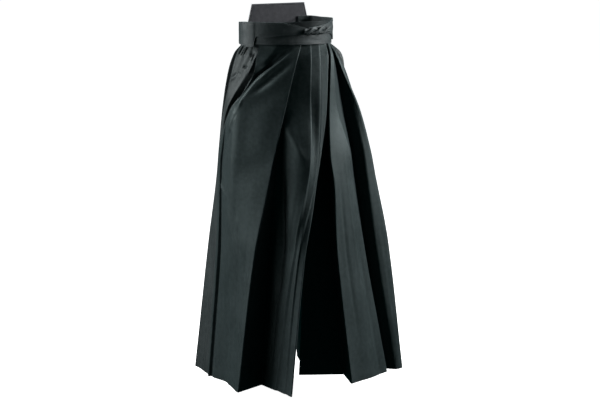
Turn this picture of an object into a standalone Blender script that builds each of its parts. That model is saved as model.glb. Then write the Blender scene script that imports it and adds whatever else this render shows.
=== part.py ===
"""Umanori hakama: divided, pleated trousers, filled out as worn, with no wearer.

Metres, +Z up, front towards -Y. The origin is the centre of the waist, level with the middle of
the sewn front band. Tables of fold lines are in millimetres, seen from above.
"""
from math import atan2, cos, hypot, pi, radians, sin

import bmesh
import bpy
from mathutils import Vector

# ---------------------------------------------------------------- driving sizes
MM = 0.001
CLOTH = 1.4 * MM                  # one layer of skirt cloth
BAND_CLOTH = 2.0 * MM             # the band and ties are folded from several layers
FOLD_RADIUS = 1.2                 # mm, a pressed fold at the waist
FOLD_ROOM = 4.2                   # the next fold is at least this many radii away
WAIST_A = 126.0                   # mm, half width of the waist, where the pleat tops lie
WAIST_B = 90.0                    # mm, half depth of the waist
HEIGHTS = {                       # mm, the levels at which the fold lines are given
    "waist": -19.0, "yoke": -48.0, "hip": -100.0, "seat": -200.0,
    "crotch": -320.0, "seam_top": -400.0, "knee": -600.0, "hem": -980.0,
}
PANEL_TOP = -6.0                  # mm, cloth above the waist level is tucked behind the band
ROWS = 18                         # levels that each panel is built from, below its tucked top
ROWS_BIAS = 1.45                  # above 1, the levels crowd towards the waist
ARC_STEPS = 3                     # faces round a pressed fold
SOFT_SHARE = 0.4                  # most of the way to the next fold that a soft bend may take
GATHER_REACH = 4.0                # mm, reach of a gather's soft bends
GATHER_OUT = 0.2                  # how far a gather stands out, as a share of its depth
GUSSET_ROWS = 9
GUSSET_COLUMNS = 9
GUSSET_BELOW = 4.0                # mm, from the crotch level down to the gusset's ends
GUSSET_DIP = 26.0                 # mm, sag of the crotch line between front and back
STRIP_ROWS = 3
FRONT_BAND_STEPS = 20
FRONT_TIE_STEPS = 36
BACK_TIE_RIGHT_STEPS = 32
BACK_TIE_LEFT_STEPS = 26
KNOT_TURNS = 1.5
KNOT_TAPER = 0.35                 # the twist is this much slimmer at its ends
KNOT_SIDES = 8
KNOT_STEPS = 20

# ---------------------------------------------------------------- fold tables
# One row for each fold line, in order anticlockwise from above, so that the body is on the left.
# kind: edge = end of the cloth, ridge = folded edge that faces out, valley = folded edge that
# faces in, soft = unpressed bend. size: radius of a fold at the hem, or the reach of a soft bend.
# Then x, y at each level.
#    name               kind      size  waist         yoke          hip           seat
#                                       crotch        seam_top      knee          hem
FRONT_RIGHT = (
    ("slit edge",       "edge",   0,    (-98, -56),   (-103, -50),  (-116, -51),  (-162, 8),
                                        (-175, 64),   (-177, 70),   (-181, 82),   (-202, 106)),
    ("slack cloth",     "soft",   8,    (-58, -80),   (-75, -68),   (-109, -52),  (-163, 4),
                                        (-176, 50),   (-178, 56),   (-181, 60),   (-199, 92)),
    ("drag crease",     "soft",   4,    (-14, -88),   (-43, -75),   (-103, -54),  (-162, 0),
                                        (-176, 42),   (-177, 47),   (-180, 53),   (-196, 84)),
    ("drag fold",       "soft",   5,    (-3, -88.8),  (-38.5, -84), (-102, -63.5), (-160, -28),
                                        (-175, 33),   (-176, 37),   (-179, 44),   (-193, 75)),
    ("side fold",       "soft",   14,   (4, -88.5),   (-20, -94),   (-68, -86),   (-146, -42),
                                        (-167, -30),  (-170, -22),  (-173, -1),   (-173, 27)),
    ("first pleat",     "ridge",  2.5,  (10, -88),    (-2, -98),    (-18, -103),  (-44, -104),
                                        (-74, -106),  (-91, -104),  (-131, -99),  (-173, -81)),
    ("first valley",    "valley", 2.5,  (-16, -80),   (-24, -85),   (-33, -92),   (-51, -93),
                                        (-60, -88),   (-62, -80),   (-66, -66),   (-89, -38)),
    ("second pleat",    "ridge",  3,    (41, -85),    (36.8, -100), (32.9, -108), (29.2, -115.3),
                                        (19.3, -137), (9.3, -136.1), (-28.5, -135.4), (-69, -98)),
    ("second valley",   "valley", 3,    (26, -77),    (24.3, -90),  (21.3, -100.5), (20.2, -107.8),
                                        (17.3, -131.5), (14.3, -133.1), (-23.5, -140.4), (-64, -104)),
    ("third pleat",     "ridge",  3,    (69, -75),    (66, -90),    (63, -99),    (58, -112),
                                        (47, -126),   (29, -134.8), (-20, -149),  (-56, -137)),
    ("third valley",    "valley", 3,    (56, -70),    (54, -82),    (51.5, -95),  (48.5, -108),
                                        (48, -121),   (32, -132.3), (-15, -150),  (-52, -143)),
    ("centre pleat",    "ridge",  2,    (93, -61),    (94, -77.3),  (89, -88.5),  (80, -102.5),
                                        (57, -119),   (38, -131.8), (-4, -158),   (-46, -169)),
    ("centre seam",     "edge",   0,    (95, -52),    (95, -66),    (91, -78),    (84, -88),
                                        (76, -72),    (60, -71),    (20, -60),    (-42, -60)),
)
FRONT_LEFT = (
    ("centre seam",     "edge",   0,    (97.5, -50),  (98, -64),    (94, -76),    (87, -87),
                                        (78.5, -70),  (68, -58),    (49, -29),    (43, 14)),
    ("recess",          "valley", 2,    (101, -46),   (102, -60),   (99, -70),    (102, -60),
                                        (109, -48),   (119, -46),   (131, -37),   (165, -26)),
    ("fifth pleat",     "ridge",  2,    (104, -51),   (102, -76),   (97, -88),    (91, -97),
                                        (90, -109),   (100, -113),  (110, -114),  (155, -114)),
    ("fifth far edge",  "ridge",  3,    (111, -43),   (115, -67),   (117, -80),   (129, -77),
                                        (158, -79),   (168, -73),   (210, -61),   (293, -42)),
    ("sixth valley",    "valley", 3,    (108, -38),   (120, -47.4), (135, -44),   (156, -30.7),
                                        (185, -19),   (197, -20),   (230, -16),   (297, -13)),
    ("side turn",       "soft",   6,    (112, -37),   (124, -52.1), (142.2, -54.4), (181.4, -44.7),
                                        (212.9, -44), (226, -43.8), (256.5, -39), (326.7, -30.7)),
    ("sixth pleat",     "soft",   14,   (115, -36),   (127.3, -54.7), (148.3, -59.5), (200.7, -47.4),
                                        (240.4, -35.6), (259, -30.7), (303.7, -26.8), (353.7, -22.5)),
    ("slit edge",       "edge",   0,    (118, -31),   (134, -43),   (161, -41),   (207, 0),
                                        (245, 38),    (262, 52),    (297, 62),    (342, 102)),
)
BACK_LEFT = (
    ("slit edge",       "edge",   0,    (111, -31),   (126, -38),   (150, -38),   (199, -8),
                                        (240, 34),    (259.5, 48),  (294.8, 58),  (340, 98)),
    ("hip fold",        "soft",   12,   (122, -12),   (152, -28),   (165, -24),   (205, 16),
                                        (243, 62),    (261, 78),    (296.6, 90),  (339, 124)),
    ("side",            "soft",   20,   (120, 25),    (146, 10),    (166, 12),    (204, 40),
                                        (237, 84),    (256, 94),    (292, 114),   (332, 150)),
    ("side back",       "soft",   20,   (98, 56),     (120, 62),    (140, 66),    (176, 88),
                                        (206, 120),   (222, 134),   (252, 176),   (290, 210)),
    ("back pleat",      "ridge",  3,    (60, 79),     (66, 93),     (75, 110),    (95, 136),
                                        (115, 158),   (130, 172),   (165, 232),   (202, 264)),
    ("back valley",     "valley", 3,    (74, 66),     (80, 80),     (89, 98),     (105, 122),
                                        (119, 146),   (130, 162),   (156, 212),   (184, 240)),
    ("inner back",      "soft",   20,   (30, 87),     (32, 103),    (38, 117),    (48, 143),
                                        (72, 167),    (86, 177),    (118, 212),   (138, 238)),
    ("centre back",     "edge",   0,    (1.2, 90),    (4.2, 105),   (9.2, 120),   (23.2, 145),
                                        (41.2, 165),  (50, 170),    (78, 186),    (101, 191)),
)
BACK_RIGHT = (
    ("centre back",     "edge",   0,    (-1.2, 90),   (1.8, 105),   (6.8, 120),   (20.8, 145),
                                        (38.8, 165),  (41, 168),    (32, 160),    (15, 150)),
    ("inner back",      "soft",   20,   (-30, 87),    (-28, 103),   (-24, 118),   (-18, 143),
                                        (-5, 166),    (0, 174),     (-20, 204),   (-42, 218)),
    ("back valley",     "valley", 3,    (-74, 66),    (-75, 82),    (-76, 98),    (-73, 122),
                                        (-68, 144),   (-68, 156),   (-86, 208),   (-98, 232)),
    ("back pleat",      "ridge",  3,    (-60, 79),    (-61, 95),    (-62, 110),   (-62, 134),
                                        (-63, 158),   (-70, 172),   (-100, 230),  (-122, 263)),
    ("side back",       "soft",   20,   (-99, 55),    (-107, 76),   (-118, 92),   (-130, 118),
                                        (-137, 140),  (-142, 150),  (-162, 203),  (-186, 243)),
    ("silhouette fold", "soft",   12,   (-119, 30),   (-134, 60),   (-149, 70),   (-158, 90),
                                        (-163, 108),  (-167, 119),  (-183, 152),  (-213, 203)),
    ("side hollow",     "soft",   5,    (-118.5, 20), (-122, 56),   (-134, 67),   (-150, 86),
                                        (-164, 100.5), (-168.5, 108), (-180, 138), (-208, 188)),
    ("hip fold",        "soft",   6,    (-123, 10),   (-131, 38),   (-141, 50),   (-155, 68),
                                        (-167, 92),   (-172, 97),   (-179, 124),  (-205, 173)),
    ("front turn",      "soft",   4,    (-97, -42),   (-95.6, -35.4), (-114.2, -0.3), (-156.5, 48),
                                        (-169.3, 74), (-173.6, 80), (-178.9, 98), (-202, 134)),
    ("slit edge",       "edge",   0,    (-90, -48),   (-87, -38),   (-95, -8),    (-144, 48),
                                        (-171, 60),   (-175, 66),   (-178.8, 78), (-199.4, 102.5)),
)
# Gathers between two fold lines, and their depth in mm at each level.
GATHERS = {
    "back_right": ("hip fold", "front turn", 3, (5.0, 4.0, 1.2, 0.0, 0.0, 0.0, 0.0, 0.0)),
    "back_left": ("slit edge", "hip fold", 1, (2.0, 2.5, 2.0, 0.8, 0.0, 0.0, 0.0, 0.0)),
}
# Gusset lines from the front seam to the back seam, x, y at four levels.
#        name           crotch         seam_top       knee           hem
GUSSET_RIGHT = (
    ("front seam",      (76.5, -70),   (60.4, -68.8), (20.4, -58),   (-41.6, -58.2)),
    ("front of thigh",  (64, 10),      (57, 10),      (38, 10),      (-14, 30)),
    ("back of thigh",   (50, 90),      (47, 90),      (40, 90),      (6, 95)),
    ("back seam",       (38.8, 163),   (41, 166),     (32, 158),     (15, 148)),
)
GUSSET_LEFT = (
    ("front seam",      (78.7, -67.4), (68, -55.8),   (49.2, -27),   (43.5, 16.2)),
    ("front of thigh",  (66.4, 10),    (70, 10),      (68, 45),      (70, 85)),
    ("back of thigh",   (52.4, 90),    (64, 90),      (80, 115),     (91, 140)),
    ("back seam",       (41.2, 163),   (50.2, 167.8), (78.2, 183.8), (101, 188.8)),
)
# Bands and ties: stations along each strip. angle is in degrees round the waist from the front
# centre, positive to the wearer's left; out is how far outside the pleat tops it lies; low and
# high are the strip's edges. All in mm but the angle.
#        where                   angle  out   low   high
FRONT_BAND = (
    ("slit, wearer's right",     -58,   2.9,  -11,  18),
    ("centre",                   0,     2.9,  -12,  18),
    ("slit, wearer's left",      67.5,  2.9,  -18,  18),
)
FRONT_TIE = (
    ("leaves the band",          -42,   0,    13,   34),
    ("right side",               -95,   0,    2,    34),
    ("right of the board",       -140,  0,    -4,   30),
    ("behind the board",         -180,  -1,   -4,   28),
    ("left of the board",        -220,  0,    -4,   30),
    ("left side",                -265,  0,    4,    36),
    ("meets the knot",           -318,  0,    13,   32),
)
BACK_TIE_RIGHT = (
    ("on the board",             -156,  8.2,  -5,   31),
    ("along the board",          -150,  12.8, -5,   31.5),
    ("board's end",              -143,  20.8, -6,   32),
    ("past the board",           -133,  19,   -9,   35),
    ("behind the hip",           -118,  9,    -13,  40),
    ("side",                     -98,   5.8,  -16,  44),
    ("side front",               -75,   5.8,  -17,  48.5),
    ("folds narrower",           -59,   5.8,  -15,  49.5),
    ("over the band",            -44,   5.8,  8,    49.5),
    ("front",                    -18,   5.8,  13,   47.5),
    ("centre",                   1,     5.8,  15,   39),
    ("under the knot",           12.3,  5.8,  16,   32),
)
BACK_TIE_LEFT = (
    ("on the board",             150.6, 12.5, -5,   44),
    ("along the board",          141.5, 23.9, -5,   45),
    ("board's end",              136,   29,   -7,   44.5),
    ("behind the hip",           121,   18,   -11,  44),
    ("side",                     98,    6.5,  -13,  46.5),
    ("side front",               74,    5.8,  -9,   48),
    ("folds down",               56.6,  5.8,  9,    42),
    ("front",                    40,    5.8,  14,   37),
    ("under the knot",           15,    5.8,  15,   33),
)
# Twisted, tucked ends of the two back ties: where the twist starts and ends along the waist.
KNOT_FROM_X = 18.0                # mm
KNOT_TO_X = 102.0                 # mm
KNOT_OUT = 12.6                   # mm, outside the pleat tops
KNOT_LEVEL = 23.5                 # mm
KNOT_RISE = 6.2                   # mm, half the height of the twist
KNOT_DEPTH = 2.9                  # mm, half its depth
STRAND_HIGH = 11.0                # mm
STRAND_THICK = 4.4                # mm
# Back board, stiff, covered in the same cloth.
BOARD_CENTRE_X = 10 * MM
BOARD_TOP_WIDTH = 155 * MM
BOARD_FOOT_WIDTH = 196 * MM
BOARD_HEIGHT = 90 * MM
BOARD_THICK = 7 * MM
BOARD_FOOT_Z = -8 * MM
BOARD_FRONT_Y = 91.4 * MM
BOARD_ROUNDING = 2 * MM

CLOTH_BLACK = (0.021, 0.029, 0.030, 1.0)
CLOTH_ROUGH = 0.55
TIE_BLACK = (0.030, 0.036, 0.038, 1.0)
TIE_ROUGH = 0.5
BOARD_BLACK = (0.022, 0.023, 0.027, 1.0)
BOARD_ROUGH = 0.6


# ---------------------------------------------------------------- curves through the tables
def smooth(stations, values, at):
    """Value at `at` on a smooth curve through (station, value) pairs with rising stations."""
    slopes = []
    last = len(stations) - 1
    for i in range(len(stations)):
        lo = max(i - 1, 0)
        hi = min(i + 1, last)
        slopes.append((values[hi] - values[lo]) / (stations[hi] - stations[lo]))
    i = max(j for j in range(last) if j == 0 or stations[j] <= at)
    span = stations[i + 1] - stations[i]
    t = (at - stations[i]) / span
    rise = values[i + 1] - values[i]
    return (values[i] + t * t * (3 - 2 * t) * rise
            + span * t * (1 - t) * (slopes[i] * (1 - t) - slopes[i + 1] * t))


def fold_line(points, levels, z):
    """Plan position of one fold line at height z (mm)."""
    depths = [-HEIGHTS[level] for level in levels]
    return (smooth(depths, [p[0] for p in points], -z), smooth(depths, [p[1] for p in points], -z))


def with_gathers(name, table):
    """The table's rows at one height, with any gathers put in as extra bends."""
    if name not in GATHERS:
        return lambda z: [(kind, size, fold_line(points, HEIGHTS, z))
                          for _, kind, size, *points in table]
    first, second, count, depths = GATHERS[name]
    stations = [-h for h in HEIGHTS.values()]

    def rows(z):
        out = []
        depth = smooth(stations, depths, -z)
        line = {fold: fold_line(points, HEIGHTS, z) for fold, _, _, *points in table}
        a = line[first]
        b = line[second]
        run = hypot(b[0] - a[0], b[1] - a[1])
        inward = (-(b[1] - a[1]) / run, (b[0] - a[0]) / run)
        for fold, kind, size, *_ in table:
            out.append((kind, size, line[fold]))
            if fold != first:
                continue
            for i in range(2 * count):
                t = (i + 1) / (2 * count + 1)
                push = depth if i % 2 == 0 else -GATHER_OUT * depth
                out.append(("soft", GATHER_REACH, (a[0] + t * (b[0] - a[0]) + inward[0] * push,
                                                   a[1] + t * (b[1] - a[1]) + inward[1] * push)))
        return out
    return rows


def unit(x, y):
    length = hypot(x, y) or 1.0
    return x / length, y / length


def section(rows, drop):
    """Cloth's middle line in plan (mm): a belt that runs round a small pulley at each fold.

    drop runs from 0 at the waist to 1 at the hem, where the folds are blunter.
    """
    points = [p for _, _, p in rows]
    pulleys = []
    for i, (kind, size, p) in enumerate(rows):
        if kind in ("edge", "soft"):
            pulleys.append((p[0], p[1], 0.0))
            continue
        to_last = unit(points[i - 1][0] - p[0], points[i - 1][1] - p[1])
        to_next = unit(points[i + 1][0] - p[0], points[i + 1][1] - p[1])
        inside = unit(to_last[0] + to_next[0], to_last[1] + to_next[1])
        nearest = min(hypot(q[0] - p[0], q[1] - p[1]) for q in (points[i - 1], points[i + 1]))
        radius = min(FOLD_RADIUS + (size - 1) * drop, nearest / FOLD_ROOM)
        turn = 1.0 if kind == "ridge" else -1.0
        pulleys.append((p[0] + inside[0] * radius, p[1] + inside[1] * radius, turn * radius))
    headings = []
    for a, b in zip(pulleys, pulleys[1:]):
        gap = hypot(b[0] - a[0], b[1] - a[1])
        lean = max(-1.0, min(1.0, (a[2] - b[2]) / gap))
        headings.append(atan2(b[1] - a[1], b[0] - a[0]) + atan2(lean, (1 - lean * lean) ** 0.5))
    line = []
    for i, (kind, size, p) in enumerate(rows):
        if kind == "edge":
            line.append(p)
            continue
        x, y, signed = pulleys[i]
        before = headings[i - 1]
        after = headings[i]
        if kind == "soft":
            gaps = [hypot(q[0] - p[0], q[1] - p[1]) for q in (points[i - 1], points[i + 1])]
            reach = [min(size, SOFT_SHARE * gap) for gap in gaps]
            start = (x - cos(before) * reach[0], y - sin(before) * reach[0])
            end = (x + cos(after) * reach[1], y + sin(after) * reach[1])
            for t in (0.0, 0.5, 1.0):
                line.append(tuple((1 - t) ** 2 * start[k] + 2 * t * (1 - t) * p[k] + t * t * end[k]
                                  for k in range(2)))
            continue
        sweep = (after - before) % (2 * pi) if signed > 0 else -((before - after) % (2 * pi))
        if abs(sweep) > 1.5 * pi:
            sweep -= 2 * pi if sweep > 0 else -2 * pi
        for step in range(ARC_STEPS + 1):
            heading = before + sweep * step / ARC_STEPS
            line.append((x + sin(heading) * signed, y - cos(heading) * signed))
    return line


# ---------------------------------------------------------------- making the pieces
def material(name, colour, roughness):
    made = bpy.data.materials.new(name)
    made.use_nodes = True
    shader = made.node_tree.nodes["Principled BSDF"]
    shader.inputs["Base Color"].default_value = colour
    shader.inputs["Roughness"].default_value = roughness
    shader.inputs["Metallic"].default_value = 0.0
    return made


def sheet_object(name, grid, thickness, look, closed=False):
    """A cloth wall through a grid of points (mm), rows from the top down."""
    mesh = bpy.data.meshes.new(name)
    bm = bmesh.new()
    rows = [[bm.verts.new([c * MM for c in point]) for point in row] for row in grid]
    for upper, lower in zip(rows, rows[1:]):
        columns = len(upper) if closed else len(upper) - 1
        for c in range(columns):
            d = (c + 1) % len(upper)
            bm.faces.new((upper[c], lower[c], lower[d], upper[d]))
    bm.to_mesh(mesh)
    bm.free()
    piece = bpy.data.objects.new(name, mesh)
    garment.objects.link(piece)
    piece.parent = waist
    mesh.materials.append(look)
    if thickness:
        wall = piece.modifiers.new("cloth wall", "SOLIDIFY")
        wall.thickness = thickness
        wall.offset = 0.0
        wall.use_even_offset = True
        wall.thickness_clamp = 0.0
    return piece


def panel(name, table, look):
    """One breadth of the skirt, from the waist to the hem."""
    rows_at = with_gathers(name, table)
    top = HEIGHTS["waist"]
    hem = HEIGHTS["hem"]
    grid = [[(x, y, PANEL_TOP) for x, y in section(rows_at(top), 0.0)]]
    for r in range(ROWS):
        drop = (r / (ROWS - 1)) ** ROWS_BIAS
        z = top + drop * (hem - top)
        grid.append([(x, y, z) for x, y in section(rows_at(z), drop)])
    return sheet_object(name, grid, CLOTH, look)


def gusset(name, table, look):
    """Inner leg piece, from the crotch line to the hem."""
    levels = ("crotch", "seam_top", "knee", "hem")
    top = HEIGHTS["crotch"] - GUSSET_BELOW
    hem = HEIGHTS["hem"]
    grid = []
    for r in range(GUSSET_ROWS):
        down = r / (GUSSET_ROWS - 1)
        row = []
        for c in range(GUSSET_COLUMNS):
            s = c / (GUSSET_COLUMNS - 1)
            z = top + down * (hem - top) - GUSSET_DIP * sin(pi * s) * (1 - down) ** 2
            lines = [fold_line(points, levels, z) for _, *points in table]
            stations = [i / (len(table) - 1) for i in range(len(table))]
            x = smooth(stations, [p[0] for p in lines], s)
            y = smooth(stations, [p[1] for p in lines], s)
            row.append((x, y, z))
        grid.append(row)
    return sheet_object(name, grid, CLOTH, look)


def strip(name, stations, steps, look):
    """A flat band or tie that follows its stations round the waist."""
    runs = [abs(angle - stations[0][1]) for _, angle, *_ in stations]
    grid = [[] for _ in range(STRIP_ROWS)]
    for i in range(steps + 1):
        s = runs[-1] * i / steps
        angle, out, low, high = (smooth(runs, [st[k] for st in stations], s) for k in range(1, 5))
        x = (WAIST_A + out) * sin(radians(angle))
        y = -(WAIST_B + out) * cos(radians(angle))
        for row in range(STRIP_ROWS):
            grid[row].append((x, y, high + (low - high) * row / (STRIP_ROWS - 1)))
    return sheet_object(name, grid, BAND_CLOTH, look)


def knot_strand(name, phase, look):
    """One of the two tie ends, wound round the other along the front of the waist."""
    a = WAIST_A + KNOT_OUT
    b = WAIST_B + KNOT_OUT
    grid = []
    for i in range(KNOT_STEPS + 1):
        t = i / KNOT_STEPS
        x0 = KNOT_FROM_X + t * (KNOT_TO_X - KNOT_FROM_X)
        y0 = -b * (1 - (x0 / a) ** 2) ** 0.5
        out = unit(x0 / a ** 2, y0 / b ** 2)
        wind = 2 * pi * KNOT_TURNS * t + phase
        taper = 1 - KNOT_TAPER * abs(2 * t - 1) ** 3
        shift = -KNOT_DEPTH * sin(wind)
        level = KNOT_LEVEL + KNOT_RISE * cos(wind) * taper
        ring = []
        for k in range(KNOT_SIDES):
            around = 2 * pi * k / KNOT_SIDES
            away = shift + 0.5 * STRAND_THICK * cos(around)
            ring.append((x0 + out[0] * away, y0 + out[1] * away,
                         level + 0.5 * STRAND_HIGH * taper * sin(around)))
        grid.append(ring)
    piece = sheet_object(name, grid, 0, look, closed=True)
    bm = bmesh.new()
    bm.from_mesh(piece.data)
    bmesh.ops.holes_fill(bm, edges=[e for e in bm.edges if e.is_boundary])
    bmesh.ops.recalc_face_normals(bm, faces=bm.faces)
    bm.to_mesh(piece.data)
    bm.free()
    piece.data.shade_smooth()
    return piece


def back_board(look):
    """Stiff trapezoid board behind the waist, narrower at the top."""
    centre = Vector((BOARD_CENTRE_X, BOARD_FRONT_Y + BOARD_THICK / 2,
                     BOARD_FOOT_Z + BOARD_HEIGHT / 2))
    bpy.ops.mesh.primitive_cube_add(size=1.0, location=centre)
    piece = bpy.context.object
    piece.name = "back_board"
    piece.data.name = "back_board"
    for vertex in piece.data.vertices:
        width = BOARD_TOP_WIDTH if vertex.co.z > 0 else BOARD_FOOT_WIDTH
        vertex.co = (vertex.co.x * width, vertex.co.y * BOARD_THICK, vertex.co.z * BOARD_HEIGHT)
    rounding = piece.modifiers.new("rounded edges", "BEVEL")
    rounding.width = BOARD_ROUNDING
    rounding.segments = 2
    for owner in piece.users_collection:
        owner.objects.unlink(piece)
    garment.objects.link(piece)
    piece.parent = waist
    piece.data.materials.append(look)
    return piece


# ---------------------------------------------------------------- the garment
for old in list(bpy.data.objects):
    bpy.data.objects.remove(old, do_unlink=True)
garment = bpy.data.collections.new("hakama")
bpy.context.scene.collection.children.link(garment)
waist = bpy.data.objects.new("waist_origin", None)
garment.objects.link(waist)

for piece_name, piece_table in (("front_right", FRONT_RIGHT), ("front_left", FRONT_LEFT),
                                ("back_right", BACK_RIGHT), ("back_left", BACK_LEFT)):
    panel(piece_name, piece_table, material(piece_name + "_cloth", CLOTH_BLACK, CLOTH_ROUGH))
for piece_name, piece_table in (("gusset_right", GUSSET_RIGHT), ("gusset_left", GUSSET_LEFT)):
    gusset(piece_name, piece_table, material(piece_name + "_cloth", CLOTH_BLACK, CLOTH_ROUGH))
for piece_name, piece_table, steps in (("front_band", FRONT_BAND, FRONT_BAND_STEPS),
                                       ("front_tie", FRONT_TIE, FRONT_TIE_STEPS),
                                       ("back_tie_right", BACK_TIE_RIGHT, BACK_TIE_RIGHT_STEPS),
                                       ("back_tie_left", BACK_TIE_LEFT, BACK_TIE_LEFT_STEPS)):
    strip(piece_name, piece_table, steps, material(piece_name + "_cloth", TIE_BLACK, TIE_ROUGH))
for piece_name, phase in (("knot_strand_1", 0.0), ("knot_strand_2", pi)):
    knot_strand(piece_name, phase, material(piece_name + "_cloth", TIE_BLACK, TIE_ROUGH))
back_board(material("back_board_cloth", BOARD_BLACK, BOARD_ROUGH))
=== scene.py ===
"""Umanori hakama in black twill: divided, pleated trousers, empty and filled out as worn."""
from math import atan2, cos, hypot, pi, radians, sin

import bmesh
import bpy
import numpy as np
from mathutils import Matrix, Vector, noise


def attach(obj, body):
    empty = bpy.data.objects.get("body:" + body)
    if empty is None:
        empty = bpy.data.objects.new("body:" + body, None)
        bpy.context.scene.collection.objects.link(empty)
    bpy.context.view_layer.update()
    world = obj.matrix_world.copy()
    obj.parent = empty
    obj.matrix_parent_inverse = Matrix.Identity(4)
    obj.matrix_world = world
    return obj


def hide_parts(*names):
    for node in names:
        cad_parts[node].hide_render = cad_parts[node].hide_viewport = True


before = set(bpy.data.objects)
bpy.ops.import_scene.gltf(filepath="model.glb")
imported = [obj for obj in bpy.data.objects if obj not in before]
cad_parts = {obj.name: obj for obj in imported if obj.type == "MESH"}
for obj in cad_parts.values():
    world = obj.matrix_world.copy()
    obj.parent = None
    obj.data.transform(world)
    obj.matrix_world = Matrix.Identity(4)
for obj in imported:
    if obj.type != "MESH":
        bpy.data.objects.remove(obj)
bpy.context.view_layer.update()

# ======== view
# A long lens that stands well back, looking down a little from above the waist, and turned
# about 20 degrees round to the wearer's right.


def put(name, data):
    """A new object in the scene, at the origin."""
    made = bpy.data.objects.new(name, data)
    bpy.context.scene.collection.objects.link(made)
    return made


def stand(thing, place, target):
    """Stand a camera or a lamp at `place`, turned towards `target`."""
    thing.location = place
    thing.rotation_euler = (Vector(target) - Vector(place)).to_track_quat("-Z", "Y").to_euler()


view = put("view", bpy.data.cameras.new("view"))
view.data.lens = 111.4
view.data.sensor_width = 36.0
view.data.clip_end = 100.0
stand(view, (-1.704, -4.793, 0.621), (0.036, -0.013, -0.46))
bpy.context.scene.camera = view
bpy.context.scene.view_settings.view_transform = "Standard"

# ======== front breadth, wearer's right
# Black twill, one layer, laid in four pressed pleats that open out towards the hem. Slack cloth
# is drawn from the side slit across the hip, and the front leg pushes the pleats apart.
MM = 0.001
CLOTH = 1.4 * MM
FOLD_RADIUS = 1.2
FOLD_ROOM = 4.2                   # a fold takes up at most this share of the cloth beside it
HEIGHTS = {
    "waist": -19.0, "yoke": -48.0, "hip": -100.0, "seat": -200.0,
    "crotch": -320.0, "seam_top": -400.0, "knee": -600.0, "hem": -980.0,
}
UNDER_BAND = (-6.0, -10.0, -14.5)  # heights of the rows hidden by the band
CLOTH_ROWS = 193
ROW_EVENNESS = 0.35               # 1 spaces the rows evenly, and less crowds them at the waist
CLOTH_STEP = 5.0                  # mm between neighbouring points of the cloth
BEND_POINTS = 7
BEND_SHARE = 0.05                 # how much of a fold's place its bend takes on each side
SOFT_SHARE = 0.4                  # a soft bend takes at most this share of the cloth beside it
GATHER_BEND = 4
GATHER_BACK = 0.2                 # how far a gather swings back out, as a share of its depth
HEM_LEVEL = -970.0                # a crease that ends below this runs out through the hem
CREASE_FADE = 0.3                 # share of a crease over which each of its ends fades
CALM_REACH = 14.0                 # mm over which the cloth comes to life below the band
EASE = 14.0                       # folds narrower than this do not turn a crease aside
SLACK_WAVES = (                   # mm across, mm down, what is added to the seed, and share
    (34, 120, 0, 1.0),
    (90, 260, 7, 0.7),
    (14, 26, 3, 0.35),
)
WEAR_REACH = 0.07                 # share of the way to the next fold that its wear reaches
SHARP_ANGLE = 52.0                # degrees between faces, from which an edge looks sharp
RIB_DEPTH = 0.0002                # m that the ribs of the twill stand out

# kind: edge, ridge (folds out), valley (folds in) or soft. size: radius at the hem, or reach.
# Then come x and y in mm, each at the eight heights above, from the waist to the hem.
FRONT_RIGHT = (
    ("slit edge", "edge", 0,
     (-98, -103, -116, -162, -175, -177, -181, -202),
     (-56, -50, -51, 8, 64, 70, 82, 106)),
    ("slack cloth", "soft", 3,
     (-58, -75, -109, -163, -175, -177.5, -185.5, -206),
     (-80, -68, -52, 4, 48, 57, 58, 91)),
    ("drag crease", "soft", 3,
     (-14, -43, -103, -162, -168, -170, -174, -195),
     (-88, -75, -54, 0, 47, 56, 56.5, 89.5)),
    ("drag fold", "soft", 5,
     (-3, -38.5, -102, -160, -172, -175.5, -179, -195),
     (-88.8, -84, -63.5, -28, 33, 40, 44, 74)),
    ("side fold", "soft", 14,
     (4, -20, -68, -146, -167, -170, -173, -173),
     (-88.5, -94, -86, -42, -30, -22, -1, 27)),
    ("first pleat", "ridge", 2.5,
     (10, -2, -18, -44, -74, -91, -131, -173),
     (-88, -98, -103, -104, -106, -104, -99, -81)),
    ("first valley", "valley", 2.5,
     (-16, -24, -33, -51, -60, -62, -66, -89),
     (-80, -85, -92, -93, -88, -80, -66, -38)),
    ("second pleat", "ridge", 3,
     (41, 36.8, 32.9, 29.2, 19.3, 9.3, -28.5, -69),
     (-85, -100, -108, -115.3, -137, -136.1, -135.4, -98)),
    ("second valley", "valley", 3,
     (26, 24.3, 21.3, 20.2, 17.3, 14.3, -23.5, -64),
     (-77, -90, -100.5, -107.8, -131.5, -133.1, -140.4, -104)),
    ("third pleat", "ridge", 3,
     (69, 66, 63, 58, 47, 29, -20, -56),
     (-75, -90, -99, -112, -126, -134.8, -149, -137)),
    ("third valley", "valley", 3,
     (56, 54, 51.5, 48.5, 48, 32, -15, -52),
     (-70, -82, -95, -108, -121, -132.3, -150, -143)),
    ("centre pleat", "ridge", 2,
     (93, 94, 89, 80, 57, 38, -4, -46),
     (-61, -77.3, -88.5, -102.5, -119, -131.8, -158, -169)),
    ("centre seam", "edge", 0,
     (95, 95, 91, 84, 76, 60, 20, -42),
     (-52, -66, -78, -88, -72, -71, -60, -60)),
)

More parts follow.
